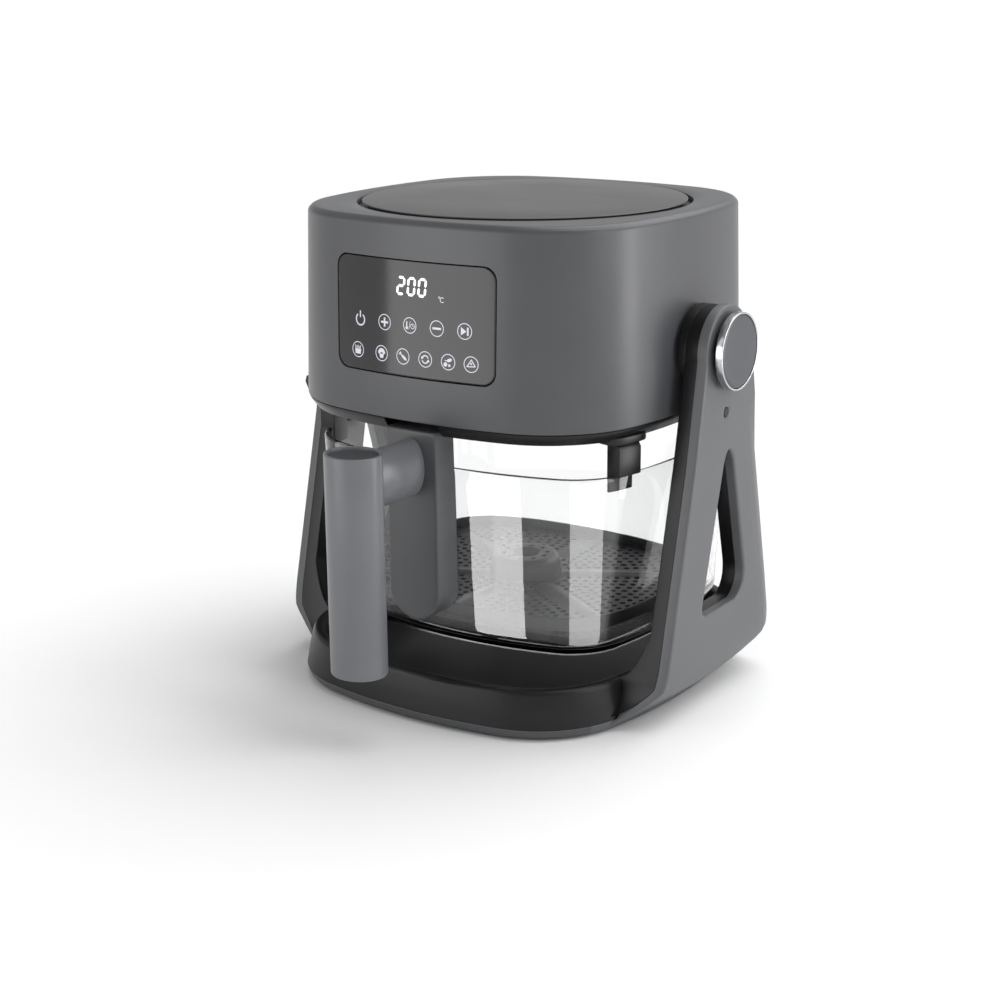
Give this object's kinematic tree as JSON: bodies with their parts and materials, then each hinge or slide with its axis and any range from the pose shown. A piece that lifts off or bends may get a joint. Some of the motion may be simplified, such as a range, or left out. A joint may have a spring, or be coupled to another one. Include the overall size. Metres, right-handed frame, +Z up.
{
  "type": "air fryer",
  "caption": "Tilting glass air fryer: a squarish head on pivots between two base arms, over a clear bowl with a front handle and a perforated plate.",
  "frame": {"origin": "under the middle of the whole outline, on the plane it stands on", "axes": "+Z up, +X to the object's right as its front is faced, -Y towards the handle at the front"},
  "size_m": [0.33, 0.3536, 0.3294],
  "materials": {
    "body_grey": "satin mid grey moulding",
    "grip_grey": "satin grey moulding",
    "black_plastic": "satin black moulding",
    "lid_plastic": "satin warm grey",
    "panel_gloss": "glossy smoked black",
    "chrome": "polished",
    "brushed_aluminium": "fine brushed",
    "steel": "plain",
    "rubber": "matte",
    "coated_steel": "dark non-stick coating",
    "circuit_board": "green lacquer",
    "clear_glass": "clear"
  },
  "bodies": {
    "base": {"front_skirt": "body_grey", "rear_skirt": "body_grey", "base_tray": "black_plastic", "bottom_plate": "black_plastic", "foot_1": "rubber", "foot_2": "rubber", "foot_3": "rubber", "foot_4": "rubber", "left_arm_cover": "body_grey", "left_arm_liner": "black_plastic", "left_pivot_bush": "steel", "left_arm_plug": "black_plastic", "right_arm_cover": "body_grey", "right_arm_liner": "black_plastic", "right_pivot_bush": "steel", "right_arm_plug": "black_plastic"},
    "head": {"head_shell": "body_grey", "display_panel": "panel_gloss", "head_ring": "black_plastic", "lid_collar": "black_plastic", "top_lid": "lid_plastic", "left_trunnion": "steel", "left_pivot_cap": "brushed_aluminium", "left_pivot_cap_ring": "chrome", "right_trunnion": "steel", "right_pivot_cap": "brushed_aluminium", "right_pivot_cap_ring": "chrome", "heat_shield": "steel", "heating_element": "steel", "element_guard": "steel", "motor": "steel", "motor_bridge": "steel", "temperature_sensor": "steel", "control_board": "circuit_board", "power_board": "circuit_board", "cord_gland": "rubber"},
    "rotor": {"motor_shaft": "steel", "hot_air_fan": "steel", "cooling_fan": "black_plastic"},
    "left_latch": {"left_bowl_latch": "black_plastic"},
    "right_latch": {"right_bowl_latch": "black_plastic"},
    "bowl": {"glass_bowl": "clear_glass", "handle_bracket": "grip_grey", "handle_clamp": "black_plastic", "handle_neck": "grip_grey", "grip_front": "grip_grey", "grip_back": "grip_grey", "grip_cap": "grip_grey", "upper_handle_bolt": "steel", "lower_handle_bolt": "steel", "left_bowl_lug": "black_plastic", "right_bowl_lug": "black_plastic"},
    "crisper": {"crisper_plate": "coated_steel", "crisper_hub": "coated_steel", "crisper_foot_1": "rubber", "crisper_foot_2": "rubber", "crisper_foot_3": "rubber", "crisper_foot_4": "rubber"}
  },
  "joints": [
    {"name": "tilt", "type": "hinge", "parent": "base", "child": "head", "pos_m": [0, 0.03125, 0.241], "axis": [-1, 0, 0], "range_deg": [0, 60]},
    {"name": "bowl_slide", "type": "slide", "parent": "head", "child": "bowl", "axis": [0, -1, 0], "range_m": [0, 0.24]},
    {"name": "crisper_lift", "type": "slide", "parent": "bowl", "child": "crisper", "axis": [0, 0, 1], "range_m": [0, 0.1]},
    {"name": "rotor_spin", "type": "hinge", "parent": "head", "child": "rotor", "pos_m": [0, 0.03125, 0.25], "axis": [0, 0, 1], "continuous": true},
    {"name": "left_latch_press", "type": "slide", "parent": "head", "child": "left_latch", "axis": [0.9744, 0.225, 0], "range_m": [0, 0.004], "stiffness_N_per_m": 300},
    {"name": "right_latch_press", "type": "slide", "parent": "head", "child": "right_latch", "axis": [-0.9744, 0.225, 0], "range_m": [0, 0.004], "stiffness_N_per_m": 300}
  ]
}
